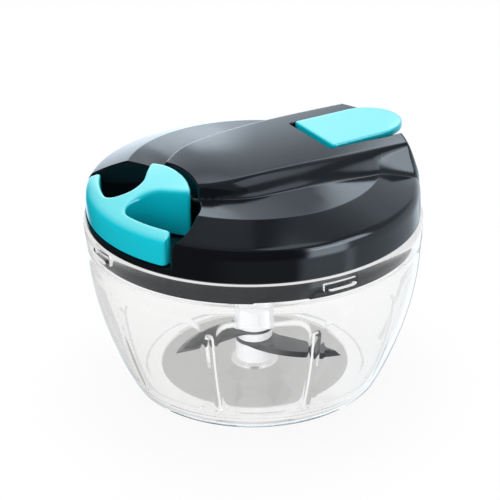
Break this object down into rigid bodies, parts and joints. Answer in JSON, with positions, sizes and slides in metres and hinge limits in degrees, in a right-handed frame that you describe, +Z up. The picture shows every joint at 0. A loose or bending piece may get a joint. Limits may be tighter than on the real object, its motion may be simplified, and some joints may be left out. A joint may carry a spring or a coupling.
{
  "type": "manual food chopper",
  "caption": "Round pull-cord food chopper: clear ribbed bowl, twist-on lid with docked pull handle and flip-up vent cap, curved blades on a removable stem.",
  "frame": {"origin": "centre of the bowl's foot, on the surface it stands on", "axes": "+Z up along the blade axis, -Y towards the pull handle, +Y towards the vent cap"},
  "size_m": [0.13, 0.13, 0.0949],
  "materials": {
    "lid_slate": "glossy moulded",
    "aqua": "glossy moulded",
    "clear": "clear moulded plastic",
    "white": "satin moulded",
    "blade_steel": "ground stainless",
    "steel": "plain steel",
    "cord": "braided nylon",
    "seal": "soft silicone"
  },
  "bodies": {
    "bowl": {"bowl": "clear", "centre_pin": "steel"},
    "lid": {"lid_cover": "lid_slate", "lid_base": "lid_slate", "drive_bush": "white", "cord_eyelet": "steel", "cord_lead": "cord", "spring_arbor": "white", "arbor_screw": "steel", "cap_pin": "steel", "cover_screw_1": "steel", "cover_screw_2": "steel", "cover_screw_3": "steel", "cover_screw_4": "steel"},
    "reel": {"cord_reel": "white", "cord_winding": "cord", "recoil_spring": "steel", "spring_cover": "steel", "clutch_ring": "white"},
    "blade_unit": {"drive_hub": "white", "stem_head": "white", "blade_stem": "white", "blade_lower": "blade_steel", "blade_middle": "blade_steel", "blade_upper": "blade_steel", "blade_spacer": "white", "stem_foot": "white"},
    "pull_handle": {"handle": "aqua", "knot_plug": "aqua", "cord_end": "cord"},
    "cap": {"vent_cap": "aqua", "vent_seal": "seal"}
  },
  "joints": [
    {"name": "lid_turn", "type": "hinge", "parent": "bowl", "child": "lid", "pos_m": [0, 0, 0.0678], "axis": [0, 0, 1], "range_deg": [0, 18.5]},
    {"name": "handle_pull", "type": "slide", "parent": "lid", "child": "pull_handle", "axis": [0, -1, 0], "range_m": [0, 0.35], "stiffness_N_per_m": 6, "springref_m": -0.25},
    {"name": "reel_spin", "type": "hinge", "parent": "lid", "child": "reel", "pos_m": [0, 0, 0.075], "axis": [0, 0, 1], "range_deg": [-1002, 0]},
    {"name": "blade_spin", "type": "hinge", "parent": "lid", "child": "blade_unit", "pos_m": [0, 0, 0.04], "axis": [0, 0, 1], "range_deg": [-1002, 0]},
    {"name": "cap_hinge", "type": "hinge", "parent": "lid", "child": "cap", "pos_m": [0, 0.029, 0.0912], "axis": [1, 0, 0], "range_deg": [0, 100]}
  ],
  "couplings": [
    {"joint": "reel_spin", "follows": "handle_pull", "rad_per_m": -49.875},
    {"joint": "blade_spin", "follows": "handle_pull", "rad_per_m": -49.875}
  ]
}
